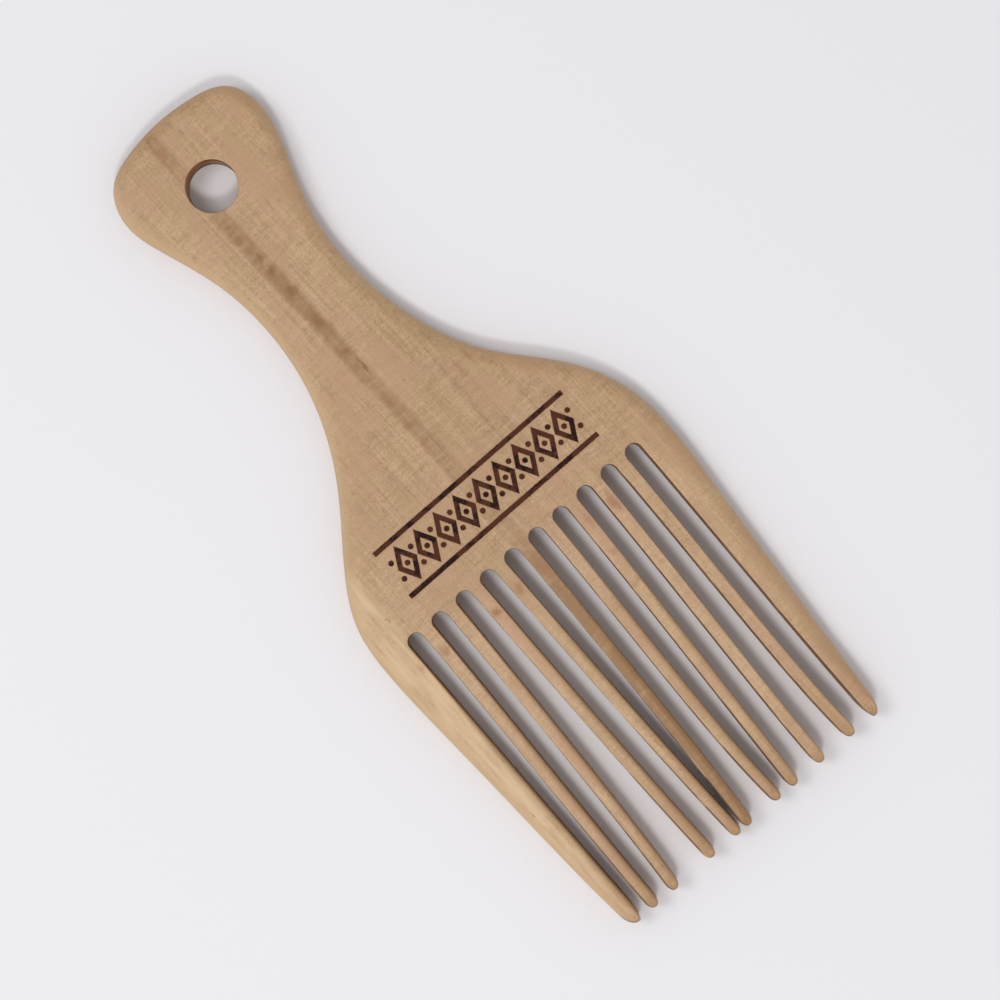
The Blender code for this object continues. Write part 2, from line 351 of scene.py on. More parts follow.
def half_outline(shape, side):
    """Knots of one edge from the head end to the tips. Side 0 is the left edge and 1 the right one."""
    sign = 2 * side - 1
    anchors = np.array(
        [
            (0.0, HEAD_END_Y),
            (shape.head_width / 2, HEAD_END_Y - shape.head_from_end),
            (shape.neck_width / 2, HEAD_END_Y - shape.neck_from_end),
            (shape.palm_width / 2, TIPS_Y + shape.palm_from_tips),
            (TIPS_HALF_WIDTHS[side], TIPS_Y),
        ]
    )
    stretches = (HEAD_SHARES[side], NECK_SHARES[side], PALM_SHARES[side], SIDE_SHARES[side])
    knots = [anchors[:1]]
    for start, end, shares in zip(anchors[:-1], anchors[1:], stretches):
        between = start + np.array(shares)[:, ::-1] * (end - start)
        knots += [between, end[None]]
    return np.concatenate(knots) * (sign, 1)


def natural_spline(knots, steps):
    """Natural cubic spline through the knots, each coordinate by the length along the chords.

    In a span of length h whose ends p and q have the bends m and n, the point
    at share t is (1-t) p + t q + h h / 6 (((1-t)^3 - (1-t)) m + (t^3 - t) n).
    """
    chords = np.hypot(*np.diff(knots, axis=0).T)
    slopes = np.diff(knots, axis=0) / chords[:, None]
    inner = np.arange(1, len(knots) - 1)
    system = np.eye(len(knots))
    system[inner, inner - 1] = chords[:-1]
    system[inner, inner] = 2 * (chords[:-1] + chords[1:])
    system[inner, inner + 1] = chords[1:]
    target = np.zeros(knots.shape)
    target[inner] = 6 * np.diff(slopes, axis=0)
    bend = np.linalg.solve(system, target)
    right = (np.arange(steps) / steps)[:, None]
    left = 1 - right
    line = left * knots[:-1, None] + right * knots[1:, None]
    cubic = (left**3 - left) * bend[:-1, None] + (right**3 - right) * bend[1:, None]
    points = line + cubic * chords[:, None, None] ** 2 / 6
    return np.concatenate((points.reshape(-1, 2), knots[-1:]))


def smooth_step(value):
    """0 below 0, 1 above 1, and 3 v^2 - 2 v^3 between."""
    value = np.clip(value, 0.0, 1.0)
    return value * value * (3 - 2 * value)


def half_height(shape, y):
    """Half the board's thickness at y: whole, then a quarter of an ellipse down to the tips."""
    tip = shape.tip_thickness / 2
    along = np.clip(1 - (y - TIPS_Y) / shape.front_length, 0.0, 1.0)
    return tip + (HALF_THICKNESS - tip) * np.sqrt(1 - along**2)


class Edge(NamedTuple):
    """A cut or sanded edge of the board, point by point along its path.

    Each point has its place, the direction into the wood, the radius of the
    rounding, how much wider the opening is above than below, how far a hot
    beam cut it, and how far the wood there stands from where it grew.
    """

    places: np.ndarray
    inward: np.ndarray
    radii: np.ndarray
    tapers: np.ndarray
    cuts: np.ndarray
    sways: np.ndarray

    def seam(self, face):
        """The line inside the rounding where a flat face starts, for the upper face 1 or the lower -1."""
        return self.places + self.inward * (self.radii + SUPPORT_WIDTH + face * self.tapers / 2)[:, None]


class Outline:
    """The comb's outline as one closed path, anticlockwise from the first tooth's root.

    The index arrays say which points belong to which edge, root to tip.
    """

    def __init__(self, shape):
        """Works out the whole path from the board's sizes."""
        self.shape = shape
        self.pitch = shape.slot_width + shape.tooth_root_width
        self.root_y = TIPS_Y + shape.slot_length
        self.arcs_y = self.root_y - shape.slot_width / 2
        left, right = half_outline(shape, 0), half_outline(shape, 1)
        rim = natural_spline(np.concatenate((left[::-1], right[1:])), SPLINE_STEPS)
        top = int(np.argmax(rim[:, 1]))
        self.rims = (rim[: top + 1], rim[top:][::-1])
        self.neck_y = HEAD_END_Y - shape.hole_from_end - HEAD_REACH * shape.hole_diameter
        self.build_teeth()
        self.build_path(rim)

    def rim_x(self, side, y):
        """x of the left (0) or right (1) rim at y, anywhere below the head."""
        return np.interp(y, self.rims[side][:, 1], self.rims[side][:, 0])

    def sawn_edge_x(self, tooth, side, along):
        """x of a tooth's left (0) or right (1) sawn edge, along from 0 at the root to 1 at the tip.

        The tooth narrows evenly from root to tip, and its sway is added.
        """
        sign = 2 * side - 1
        slot = tooth - 1 + side
        slot_x = TEETH_OFFSET + (slot - (TOOTH_COUNT - 2) / 2) * self.pitch
        narrowing = along * (self.shape.tooth_root_width - self.shape.tooth_tip_width) / 2
        return slot_x - sign * (self.shape.slot_width / 2 + narrowing) + self.sway(tooth, along)

    def sway(self, tooth, along):
        """How far a tooth stands sideways of a straight one.

        It leans by a power of along, and hooks by a higher one near its tip.
        """
        lean = LEAN_SHARES[tooth] * along**LEAN_POWER
        hook = HOOK_SHARES[tooth] * along**HOOK_POWER
        return self.pitch * (lean + hook)

    def build_teeth(self):
        """Edges of all teeth as an array (side, tooth, station, xy), root to tip.

        A nose is a quarter of an ellipse from each edge to the tip. There the
        way into the wood is towards the middle of the nose's base.
        """
        shape = self.shape
        side = np.arange(2)[:, None, None]
        tooth = np.arange(TOOTH_COUNT)[None, :, None]
        outer = (tooth == 0) | (tooth == LAST_TOOTH)
        nose_length = np.where(outer, OUTER_NOSE_LENGTH, NOSE_LENGTH)
        nose_start = 1 - nose_length / shape.slot_length
        arc_end = shape.slot_width / 2 / shape.slot_length
        share = np.linspace(0.0, 1.0, TOOTH_STEPS + 1)
        along = arc_end + share * (nose_start - arc_end)
        y = np.repeat(self.root_y - along * shape.slot_length, 2, 0)
        rims = np.concatenate((self.rim_x(0, y[:1]), self.rim_x(1, y[1:])))
        rim_side = (tooth == 0) & (side == 0) | (tooth == LAST_TOOTH) & (side == 1)
        x = np.where(rim_side, rims, self.sawn_edge_x(tooth, side, along))

        tip_left = self.sawn_edge_x(tooth, 0, 1.0)
        tip_right = self.sawn_edge_x(tooth, 1, 1.0)
        tip = (tip_left + tip_right) / 2
        tip = np.where(tooth == 0, tip_right - OUTER_TIP_INSET, tip)
        tip = np.where(tooth == LAST_TOOTH, tip_left + OUTER_TIP_INSET, tip)
        turn = np.linspace(0.0, math.pi / 2, NOSE_STEPS + 1)[1:]
        nose_x = tip + (x[..., -1:] - tip) * np.cos(turn)
        nose_y = np.broadcast_to(TIPS_Y + nose_length * (1 - np.sin(turn)), nose_x.shape)
        self.edges = np.stack((np.concatenate((x, nose_x), 2), np.concatenate((y, nose_y), 2)), 3)

        middle = np.broadcast_to((x[:1, :, -1:] + x[1:, :, -1:]) / 2, nose_x.shape)
        nose_aim = np.stack((middle, np.broadcast_to(y[..., -1:], nose_x.shape)), 3)
        self.aims = np.full(self.edges.shape, np.nan)
        self.aims[:, :, TOOTH_STEPS + 1 :] = nose_aim
        self.round_teeth(tooth, along, x, rim_side, turn)

    def round_teeth(self, tooth, along, x, rim_side, turn):
        """Radius, cutness, taper and sway of every point of the teeth's edges.

        The sanded radius grows along the tooth by a smooth step. On the nose
        each value goes over to the nose's own by a smooth step of the turn.
        """
        shape = self.shape
        start = np.array(SANDED_FROM)[:, None, None]
        whole = np.array(SANDED_WHOLE)[:, None, None]
        sanded = np.array(SANDED_RADII)[:, None, None] * SANDED_SHARES[:, None] - shape.arris_radius
        sanded = shape.arris_radius + np.maximum(sanded, 0.0) * smooth_step((along - start) / (whole - start))
        width = x[1:] - x[:1]
        to_nose = smooth_step(1 - (along[..., -1:] - along) * shape.slot_length / OUTER_BLEND_LENGTH)
        wide, narrow = OUTER_ROUND_SHARES
        limit = np.minimum(width * (wide + (narrow - wide) * to_nose), width - sanded[::-1] - FLAT_LEFT)
        radius = np.where(rim_side, np.minimum(shape.rim_radius, limit), sanded)
        into_nose = smooth_step(turn / (math.pi / 2))
        nose_radius = radius[..., -1:] + (NOSE_RADIUS - radius[..., -1:]) * into_nose
        self.edge_radii = np.concatenate((radius, nose_radius), 2)
        cut = np.broadcast_to(np.where(rim_side, 0.0, 1.0), x.shape)
        nose_cut = cut[..., -1:] + (1 - cut[..., -1:]) * into_nose
        self.edge_cuts = np.concatenate((cut, nose_cut), 2)
        taper = np.where(rim_side, 0.0, ROOT_TAPER + (TIP_TAPER - ROOT_TAPER) * along)
        self.edge_tapers = np.concatenate((taper, taper[..., -1:] * (1 - into_nose)), 2)
        along_all = (self.root_y - self.edges[..., 1]) / shape.slot_length
        self.edge_sways = self.sway(tooth, along_all)

    def build_path(self, rim):
        """Joins the tooth edges, the root arcs and the rim into one closed path.

        A root arc is half an ellipse over the gap between two edges.
        """
        shape = self.shape
        turn = np.linspace(math.pi, 0.0, ARC_STEPS + 1)[1:-1]
        left = self.edges[1, :-1, :1]
        right = self.edges[0, 1:, :1]
        middle = (left + right) / 2
        reach_x = (right - left)[..., 0] / 2 * np.cos(turn)
        reach_y = np.broadcast_to(shape.slot_width / 2 * np.sin(turn), reach_x.shape)
        arcs = middle + np.stack((reach_x, reach_y), 2)

        rows = np.linspace(0.0, 1.0, PALM_ROWS + 1)[1:]
        self.row_shares = np.concatenate(([0.0], rows))
        rim_y = self.arcs_y + rows * (self.neck_y - self.arcs_y)
        right_rim = np.stack((self.rim_x(1, rim_y), rim_y), 1)
        left_rim = np.stack((self.rim_x(0, rim_y), rim_y), 1)
        head = rim[rim[:, 1] > self.neck_y][::-1]
        steps = np.concatenate(([0.0], np.cumsum(np.hypot(*np.diff(head, axis=0).T))))
        wanted = np.linspace(0.0, steps[-1], HEAD_STEPS + 2)[1:-1]
        head = np.stack((np.interp(wanted, steps, head[:, 0]), np.interp(wanted, steps, head[:, 1])), 1)

        columns = (self.edges, self.aims, self.edge_radii, self.edge_cuts, self.edge_tapers, self.edge_sways)
        arc_values = (shape.arris_radius, 1.0, ROOT_TAPER, 0.0)
        rim_values = (shape.rim_radius, 0.0, 0.0, 0.0)
        rim_path = np.concatenate((right_rim, head, left_rim[::-1]))
        joined = [[] for _ in columns]
        for tooth in range(TOOTH_COUNT):
            for parts, edge in zip(joined, columns):
                parts += [edge[0, tooth], edge[1, tooth, ::-1]]
            path, values = (arcs[tooth], arc_values) if tooth < LAST_TOOTH else (rim_path, rim_values)
            joined[0].append(path)
            joined[1].append(np.full(path.shape, np.nan))
            for parts, value in zip(joined[2:], values):
                parts.append(np.full(len(path), value))
        self.places, aims, self.radii, self.cuts, self.tapers, self.sways = map(np.concatenate, joined)
        self.aim_inwards(aims)
        self.number_edges()

    def aim_inwards(self, aims):
        """The way into the wood at each point: towards its aim, or else square to the two steps beside it."""
        step = np.roll(self.places, -1, 0) - self.places
        step /= np.maximum(np.linalg.norm(step, axis=1), MERGE_DISTANCE)[:, None]
        tangent = step + np.roll(step, 1, 0)
        inward = np.stack((-tangent[:, 1], tangent[:, 0]), 1)
        inward = np.where(np.isnan(aims), inward, aims - self.places)
        self.inward = inward / np.linalg.norm(inward, axis=1)[:, None]

    def number_edges(self):
        """Says which points of the path belong to which edge.

        A tooth's block is its left edge, its right edge from tip to root, and
        the root arc after it. The last block has the rim in place of the arc.
        """
        count = self.edges.shape[2]
        block = 2 * count + ARC_STEPS - 1
        first = np.arange(TOOTH_COUNT)[:, None] * block
        self.left_edge = first + np.arange(count)
        self.right_edge = first + 2 * count - 1 - np.arange(count)
        self.arc = first[:-1] + 2 * count + np.arange(ARC_STEPS - 1)
        rim_start = TOOTH_COUNT * block - (ARC_STEPS - 1)
        self.right_rim = np.concatenate((self.right_edge[-1, :1], rim_start + np.arange(PALM_ROWS)))
        self.head = rim_start + PALM_ROWS + np.arange(HEAD_STEPS)
        total = len(self.places)
        self.left_rim = np.concatenate((self.left_edge[0, :1], total - 1 - np.arange(PALM_ROWS)))

    def edge(self):
        """The outline as an edge to be carried round the board."""
        return Edge(self.places, self.inward, self.radii, self.tapers, self.cuts, self.sways)


def corner_profile(shape, edge, face):
    """One corner of the edge as depths and heights: a short flat strip and a quarter turn down to the wall.

    Where the board is thin, the quarter turn is an ellipse that leaves a
    little straight wall. The taper shifts each point by its share of the height.
    """
    flat_z = half_height(shape, edge.seam(face)[:, 1])[:, None]
    edge_z = half_height(shape, edge.places[:, 1])
    wall_z = (edge_z - np.minimum(edge.radii, edge_z - WALL_LEFT))[:, None]
    turn = np.linspace(0.0, math.pi / 2, ROUNDING_STEPS + 1)
    radii = edge.radii[:, None]
    depth = np.concatenate((radii + SUPPORT_WIDTH, radii * (1 - np.sin(turn))), 1)
    height = np.concatenate((flat_z, flat_z - (flat_z - wall_z) * (1 - np.cos(turn))), 1)
    return depth + face * edge.tapers[:, None] / 2 * height / flat_z, face * height


def edge_profile(shape, edge):
    """The edge carried along its path, as a grid (path point, profile point, xyz).

    The profile goes through the upper corner, straight down the wall and
    through the lower corner.
    """
    upper_depth, upper_z = corner_profile(shape, edge, 1)
    lower_depth, lower_z = corner_profile(shape, edge, -1)
    share = np.linspace(0.0, 1.0, WALL_STEPS + 1)[1:-1]
    wall_depth = upper_depth[:, -1:] + share * (lower_depth[:, -1:] - upper_depth[:, -1:])
    wall_z = upper_z[:, -1:] + share * (lower_z[:, -1:] - upper_z[:, -1:])
    depth = np.concatenate((upper_depth, wall_depth, lower_depth[:, ::-1]), 1)
    z = np.concatenate((upper_z, wall_z, lower_z[:, ::-1]), 1)
    xy = edge.places[:, None] + edge.inward[:, None] * depth[..., None]
    return np.concatenate((xy, z[..., None]), 2)


def edge_marks(edge):
    """Cutness and sway of each profile point. Cutness is 1 on a cut wall and fades over its rounding."""
    turn = np.linspace(0.0, 1.0, ROUNDING_STEPS + 1) ** SCORCH_FADE
    upper = np.concatenate(([0.0], turn))
    profile = np.concatenate((upper, np.ones(WALL_STEPS - 1), upper[::-1]))
    return {"cutness": edge.cuts[:, None] * profile, "sway": edge.sways[:, None] + 0 * profile}


def grid_faces(rows, columns, closed=False, flipped=False):
    """Four-sided faces of a grid of points, its rows joined in a ring if closed."""
    row = np.arange(rows if closed else rows - 1)[:, None]
    column = np.arange(columns - 1)
    below = (row + 1) % rows
    start = row * columns + column
    under = below * columns + column
    faces = np.stack((start, start + 1, under + 1, under), 2).reshape(-1, 4)
    return faces[:, ::-1] if flipped else faces


def palm_sheet(outline, seam):
    """Flat face from the slot roots to the neck, as straight rows between its two sides.

    A point is (1-v) times the left side plus v times the right side, both at
    row share u. The first row is lifted over the root arcs: there u starts at
    the arc's own height s, and every later row at u + f s, with f being 1-u to
    the power LIFT_FADE. What is still missing to the arc fades out by f too.
    """
    across = np.linspace(0.0, 1.0, TOOTH_COLUMNS + 1)[:, None]
    roots = []
    for tooth in range(TOOTH_COUNT):
        left = seam[outline.left_edge[tooth, 0]]
        right = seam[outline.right_edge[tooth, 0]]
        roots.append(left + across * (right - left))
        if tooth < LAST_TOOTH:
            roots.append(seam[outline.arc[tooth]])
    roots = np.concatenate(roots)
    left, right = seam[outline.left_rim], seam[outline.right_rim]

    def sides(share, column):
        """Point at a row share on the left side, moved by the column's share towards the right one."""
        ends = [
            np.stack([np.interp(share, outline.row_shares, side[:, axis]) for axis in (0, 1)], -1)
            for side in (left, right)
        ]
        return ends[0] + column[..., None] * (ends[1] - ends[0])

    lift = (roots[:, 1] - outline.arcs_y) / (outline.neck_y - outline.arcs_y)
    # The two outer corners lie on the palm's sides, with no arc above them
    lift[[0, -1]] = 0.0
    ends_x = [np.interp(lift, outline.row_shares, side[:, 0]) for side in (left, right)]
    column = (roots[:, 0] - ends_x[0]) / (ends_x[1] - ends_x[0])
    row = outline.row_shares[:, None]
    fade = (1 - row) ** LIFT_FADE
    missing = roots - sides(lift, column)
    return sides(row + fade * lift, column) + fade[..., None] * missing


def tooth_sheets(outline, seam):
    """Flat faces of all teeth, as straight rungs from the left seam to the right one."""
    across = np.linspace(0.0, 1.0, TOOTH_COLUMNS + 1)[:, None]
    left = seam[outline.left_edge][:, :, None]
    right = seam[outline.right_edge][:, :, None]
    return left + across * (right - left)


def head_sheet(loop, hole_seam):
    """Flat face of the head, as straight lines from the hole's seam to the loop round it."""
    share = np.linspace(0.0, 1.0, HOLE_RINGS + 1)[:, None]
    return hole_seam[:, None] + share * (loop - hole_seam)[:, None]


class Patchwork:
    """Collects grids of points as patches of one surface, each with its cutness and sway."""

    def __init__(self):
        """Starts without any patch."""
        self.points = []
        self.faces = []
        self.count = 0
        self.marks = {"cutness": [], "sway": []}

    def add(self, grid, marks=None, closed=False, flipped=False):
        """Adds a grid of points with its marks, 0 where none are given."""
        rows, columns = grid.shape[:2]
        self.faces.append(grid_faces(rows, columns, closed, flipped) + self.count)
        self.points.append(grid.reshape(-1, 3))
        for name, values in self.marks.items():
            mark = (marks or {}).get(name, 0.0)
            values.append(np.broadcast_to(mark, (rows, columns)).ravel())
        self.count += rows * columns

    def add_face(self, sheet, shape, face, marks=None, closed=False):
        """Adds a flat sheet at the board's upper (1) or lower (-1) face."""
        height = face * half_height(shape, sheet[..., 1])[..., None]
        self.add(np.concatenate((sheet, height), 2), marks, closed, face < 0)

    def mesh(self, name):
        """One closed mesh of all patches, their shared borders merged."""
        mesh = bpy.data.meshes.new(name)
        points = np.concatenate(self.points) + (0.0, 0.0, MIDDLE_Z)
        mesh.from_pydata(points, [], np.concatenate(self.faces))
        for mark, values in self.marks.items():
            attribute = mesh.attributes.new(mark, "FLOAT", "POINT")
            attribute.data.foreach_set("value", np.concatenate(values).astype(np.float32))
        surface = bmesh.new()
        surface.from_mesh(mesh)
        bmesh.ops.remove_doubles(surface, verts=surface.verts, dist=MERGE_DISTANCE)
        bmesh.ops.recalc_face_normals(surface, faces=surface.faces)
        surface.to_mesh(mesh)
        surface.free()
        mesh.shade_smooth()
        return mesh


def hole_edge(shape, outer):
    """The hanging hole's edge, each point on the ray from its centre to a point of the outer loop."""
    centre = np.array((0.0, HEAD_END_Y - shape.hole_from_end))
    ray = outer - centre
    ray = ray / np.linalg.norm(ray, axis=1)[:, None]
    ones = np.ones(len(ray))
    places = centre + ray * shape.hole_diameter / 2
    return Edge(places, ray, shape.arris_radius * ones, ROOT_TAPER * ones, ones, 0 * ones)


def head_loop(outline, seam):
    """The loop round the head's flat face: the seam round the head, then back along the palm's last row."""
    last_row = palm_sheet(outline, seam)[-1, :-1]
    return np.concatenate((seam[outline.right_rim[-1:]], seam[outline.head], last_row))


def board_mesh(shape):
    """The whole comb: flat faces above and below, and the rounded edges carried round them."""
    outline = Outline(shape)
    edge = outline.edge()
    hole = hole_edge(shape, head_loop(outline, edge.seam(1)))
    patches = Patchwork()
    patches.add(edge_profile(shape, edge), edge_marks(edge), closed=True)
    patches.add(edge_profile(shape, hole), edge_marks(hole), closed=True, flipped=True)
    for face in (1, -1):
        seam = edge.seam(face)
        patches.add_face(palm_sheet(outline, seam), shape, face)
        for sheet, sways in zip(tooth_sheets(outline, seam), outline.edge_sways[0]):
            patches.add_face(sheet, shape, face, {"sway": sways[:, None]})
        head = head_sheet(head_loop(outline, seam), hole.seam(face))
        patches.add_face(head, shape, face, closed=True)
    return patches.mesh("hair_pick_board")


class HairPickWood(bpy.types.PropertyGroup):
    """Colours of the wood."""

    pale: color("Pale wood", "Colour of the palest early wood", (0.562, 0.364, 0.200))
    tan: color("Tan wood", "Colour of the late wood between", (0.345, 0.202, 0.088))
    rosy: color("Rosy wood", "Colour that the wood leans to in some patches", (0.485, 0.272, 0.152))
    khaki: color("Khaki wood", "Colour that the wood leans to in other patches", (0.415, 0.272, 0.124))
    # Also painted as a highlight on surfaces that face left, towards the lamps
    sap_and_highlight: color("Sapwood", "Colour of the sapwood beside the left rim", (0.660, 0.460, 0.265))
    heart: color("Heart streak", "Colour of the dark streak along the middle", (0.310, 0.165, 0.066))
    core: color("Streak core", "Colour of the darkest marks in the streak", (0.245, 0.108, 0.030))
    mark: color("Brown mark", "Colour of the brown marks on teeth and shoulders", (0.340, 0.155, 0.062))
    # Warmer sanded wood, its paler tone partly painted sheen of the lamps on the rounding
    rim: color("Sanded rim", "Colour of the sanded rims", (0.500, 0.318, 0.142))
    wall: color("Cut wall", "Colour of the walls that a hot beam cut", (0.430, 0.255, 0.140))
    scorched: color("Scorched wall", "Colour of the lower walls, scorched by the beam", (0.130, 0.062, 0.032))
    roughness: bpy.props.FloatProperty(
        name="Roughness",
        description="Roughness of the oiled faces",
        default=0.5,
        min=0.0,
        max=1.0,
        subtype="FACTOR",
    )


class HairPickBand(bpy.types.PropertyGroup):
    """The burnt band of lozenges on the upper face."""

    length: distance("Length", "Length of the band across the palm", 47 * MM)
    from_roots: distance("From the slots", "Distance of the band's middle from the slot roots", 10.7 * MM)
    spread: distance("Spread", "Distance between the two lines", 10.4 * MM)
    line: distance("Line", "Width of a burnt line", 1.0 * MM)
    pitch: distance("Pitch", "Distance between two lozenges", 4.9 * MM)
    lozenge_width: distance("Lozenge width", "Width of a lozenge along its middle line", 3.5 * MM)
    lozenge_height: distance("Lozenge height", "Height of a lozenge along its middle line", 6.2 * MM)
    dot: distance("Dot", "Diameter of the dots", 1.1 * MM)
    burnt: color("Burnt", "Colour of the burnt wood", (0.085, 0.027, 0.013))
    charred: color("Charred", "Colour of the patches burnt darkest", (0.016, 0.005, 0.004))


class Finish:
    """A new material, with short ways to add nodes to it.

    A value is a number, a colour or a node's output.
    """

    def __init__(self, name):
        """Makes the material, with only its shader and output."""
        self.material = bpy.data.materials.new(name)
        self.material.use_nodes = True
        self.nodes = self.material.node_tree.nodes
        self.links = self.material.node_tree.links
        self.shader = self.nodes["Principled BSDF"]

    def feed(self, socket, value):
        """Links a node's output to the socket, or sets the socket to a number or colour."""
        if isinstance(value, bpy.types.NodeSocket):
            self.links.new(value, socket)
        else:
            socket.default_value = value

    def add(self, kind, values, **settings):
        """A node with its settings. Values go to its inputs by their names or numbers."""
        node = self.nodes.new(kind)
        for name, setting in settings.items():
            setattr(node, name, setting)
        for name, value in values.items():
            self.feed(node.inputs[name], value)
        return node

    def attribute(self, name):
        """A number that each point of the mesh carries."""
        return self.add("ShaderNodeAttribute", {}, attribute_name=name).outputs["Fac"]

    def math(self, operation, *values, clamp=False):
        """A sum, product or other operation on numbers."""
        inputs = dict(enumerate(values))
        return self.add("ShaderNodeMath", inputs, operation=operation, use_clamp=clamp).outputs[0]

    def vector(self, operation, *values):
        """A sum, product or other operation on places."""
        return self.add("ShaderNodeVectorMath", dict(enumerate(values)), operation=operation).outputs[0]

    def length(self, value):
        """The length of a vector."""
        return self.add("ShaderNodeVectorMath", {0: value}, operation="LENGTH").outputs["Value"]

    def fade(self, value, low, high, top=1.0):
        """0 where the value is at low, top where it is at high, and smooth between."""
        values = {"Value": value, "From Min": low, "From Max": high, "To Max": top}
        return self.add("ShaderNodeMapRange", values, interpolation_type="SMOOTHSTEP").outputs["Result"]

    def mix(self, share, first, second, clamped=True):
        """The first colour at share 0 and the second at share 1, or past them if not clamped."""
        first = first if isinstance(first, bpy.types.NodeSocket) else (*first, 1)
        second = second if isinstance(second, bpy.types.NodeSocket) else (*second, 1)
        values = {0: share, 6: first, 7: second}
        return self.add("ShaderNodeMix", values, data_type="RGBA", clamp_factor=clamped).outputs[2]

    def noise(self, place, across, along, detail=2.0, roughness=0.5):
        """Noise with so many cells to a unit of the place, across and along the grain."""
        cells = self.vector("MULTIPLY", place, (across, along, across))
        values = {"Vector": cells, "Scale": 1.0, "Detail": detail, "Roughness": roughness}
        return self.add("ShaderNodeTexNoise", values).outputs["Fac"]

    def swing(self, noise, reach):
        """A noise turned into a swing about zero."""
        return self.math("MULTIPLY_ADD", noise, 2 * reach, -reach)

    def shake(self, place, cells, reach, detail=2.0):
        """The place moved in x and y by a noise, by up to the reach."""
        values = {"Vector": place, "Scale": cells, "Detail": detail}
        noise = self.add("ShaderNodeTexNoise", values).outputs["Color"]
        x, y = reach
        shift = self.vector("MULTIPLY_ADD", noise, (2 * x, 2 * y, 0.0), (-x, -y, 0.0))
        return self.vector("ADD", place, shift)

    def split(self, value):
        """The X, Y and Z of a vector."""
        return self.add("ShaderNodeSeparateXYZ", {0: value}).outputs


def grain_places(finish):
    """Places in the wood in millimetres: where it grew, and the same with y along the streak."""
    here = finish.add("ShaderNodeTexCoord", {}).outputs["Object"]
    sway = finish.add("ShaderNodeCombineXYZ", {"X": finish.attribute("sway")}).outputs[0]
    grown = finish.vector("SCALE", finish.vector("SUBTRACT", here, sway))
    grown.node.inputs["Scale"].default_value = 1 / MM
    turn = {"Vector": grown, "Location": (STREAK_OFFSET, 0, 0), "Rotation": (0, 0, -STREAK_LEAN)}
    return grown, finish.add("ShaderNodeMapping", turn).outputs[0]


def plain_wood(finish, wood, grown, grain):
    """Colour of the plain wood.

    Its tone falls slowly from left to right, is paler on the teeth, and swings
    with lines along the grain, ripples across it and larger patches. Some
    patches have a rosy hue and some a khaki one.
    """
    parts = finish.split(grown)
    tone = finish.math("MULTIPLY_ADD", parts["X"], -TONE_SLOPE, TONE_MIDDLE)
    tone = finish.math("ADD", tone, finish.fade(parts["Y"], *PALE_TEETH_FADE))
    for across, along, reach in GRAIN_LAYERS:
        tone = finish.math("ADD", tone, finish.swing(finish.noise(grain, across, along), reach))
    color = finish.mix(tone, wood.tan, wood.pale, clamped=False)
    rosy = finish.fade(finish.noise(grain, *ROSY_NOISE), *ROSY_FADE)
    color = finish.mix(rosy, color, wood.rosy)
    khaki = finish.fade(finish.noise(grain, *KHAKI_NOISE), *KHAKI_FADE)
    return finish.mix(khaki, color, wood.khaki)


def sapwood_share(finish, grown):
    """Share of sapwood: beside the left rim, its edge wandering along the grain, with darker lines in it."""
    across = finish.split(grown)["X"]
    wander = finish.swing(finish.noise(grown, *SAPWOOD_NOISE), SAPWOOD_SWING)
    share = finish.fade(finish.math("ADD", across, wander), *SAPWOOD_FADE)
    lines = finish.fade(finish.noise(grown, *SAPWOOD_LINES_NOISE), *SAPWOOD_LINES_FADE)
    return finish.math("MULTIPLY", share, lines)


def streak_share(finish, grown):
    """Share of the heart streak.

    The streak fades with the distance from its middle line, which wanders a
    little. Fine lines run along it and short bars across it. It is strongest
    on the neck and on its tooth.
    """
    parts = finish.split(grown)
    above_roots = finish.math("MAXIMUM", parts["Y"], ROOTS_Y)
    middle = finish.math("MULTIPLY_ADD", above_roots, STREAK_LEAN, STREAK_OFFSET)
    wander = finish.swing(finish.noise(grown, *STREAK_WANDER_NOISE), STREAK_WANDER)
    across = finish.math("ADD", finish.math("ADD", parts["X"], middle), wander)
    ripples = finish.swing(finish.noise(grown, *STREAK_EDGE_NOISE), STREAK_EDGE_SWING)
    from_middle = finish.math("ADD", finish.math("ABSOLUTE", across), ripples)
    body = finish.fade(from_middle, *STREAK_EDGE_FADE)
    strength = finish.math("ADD", finish.fade(parts["Y"], *STREAK_NECK_FADE), STREAK_PLAIN)
    strength = finish.math("SUBTRACT", strength, finish.fade(parts["Y"], *STREAK_HEAD_FADE))
    strength = finish.math("ADD", strength, finish.fade(parts["Y"], *STREAK_TEETH_FADE))
    lines, bars, patches = (
        finish.swing(finish.noise(grown, *noise), reach) for noise, reach in STREAK_FIGURE
    )
    strength = finish.math("ADD", strength, lines)
    strength = finish.math("ADD", strength, finish.math("ADD", bars, patches), clamp=True)
    return finish.math("MULTIPLY", body, strength)


def marks_share(finish, grown, marks):
    """Share of some marks, each an oval with a wandering edge that fades outwards."""
    place = finish.shake(grown, MARK_CELLS, MARK_SWING, MARK_DETAIL)
    share = 0.0
    for x, y, half_width, half_length, strength in marks:
        scale = (1 / half_width, 1 / half_length, 0.0)
        offset = (-x / half_width, -y / half_length, 0.0)
        reach = finish.length(finish.vector("MULTIPLY_ADD", place, scale, offset))
        share = finish.math("MAXIMUM", share, finish.fade(reach, *MARK_FADE, strength))
    return share


def flecks_share(finish, grain):
    """Share of fine dark flecks: short dashes that keep to a few lines of the grain."""
    lines = finish.fade(finish.noise(grain, *FLECK_LINES_NOISE), *FLECK_LINES_FADE)
    dashes = finish.fade(finish.noise(grain, *FLECK_DASHES_NOISE), *FLECK_DASHES_FADE)
    return finish.math("MULTIPLY", lines, dashes)


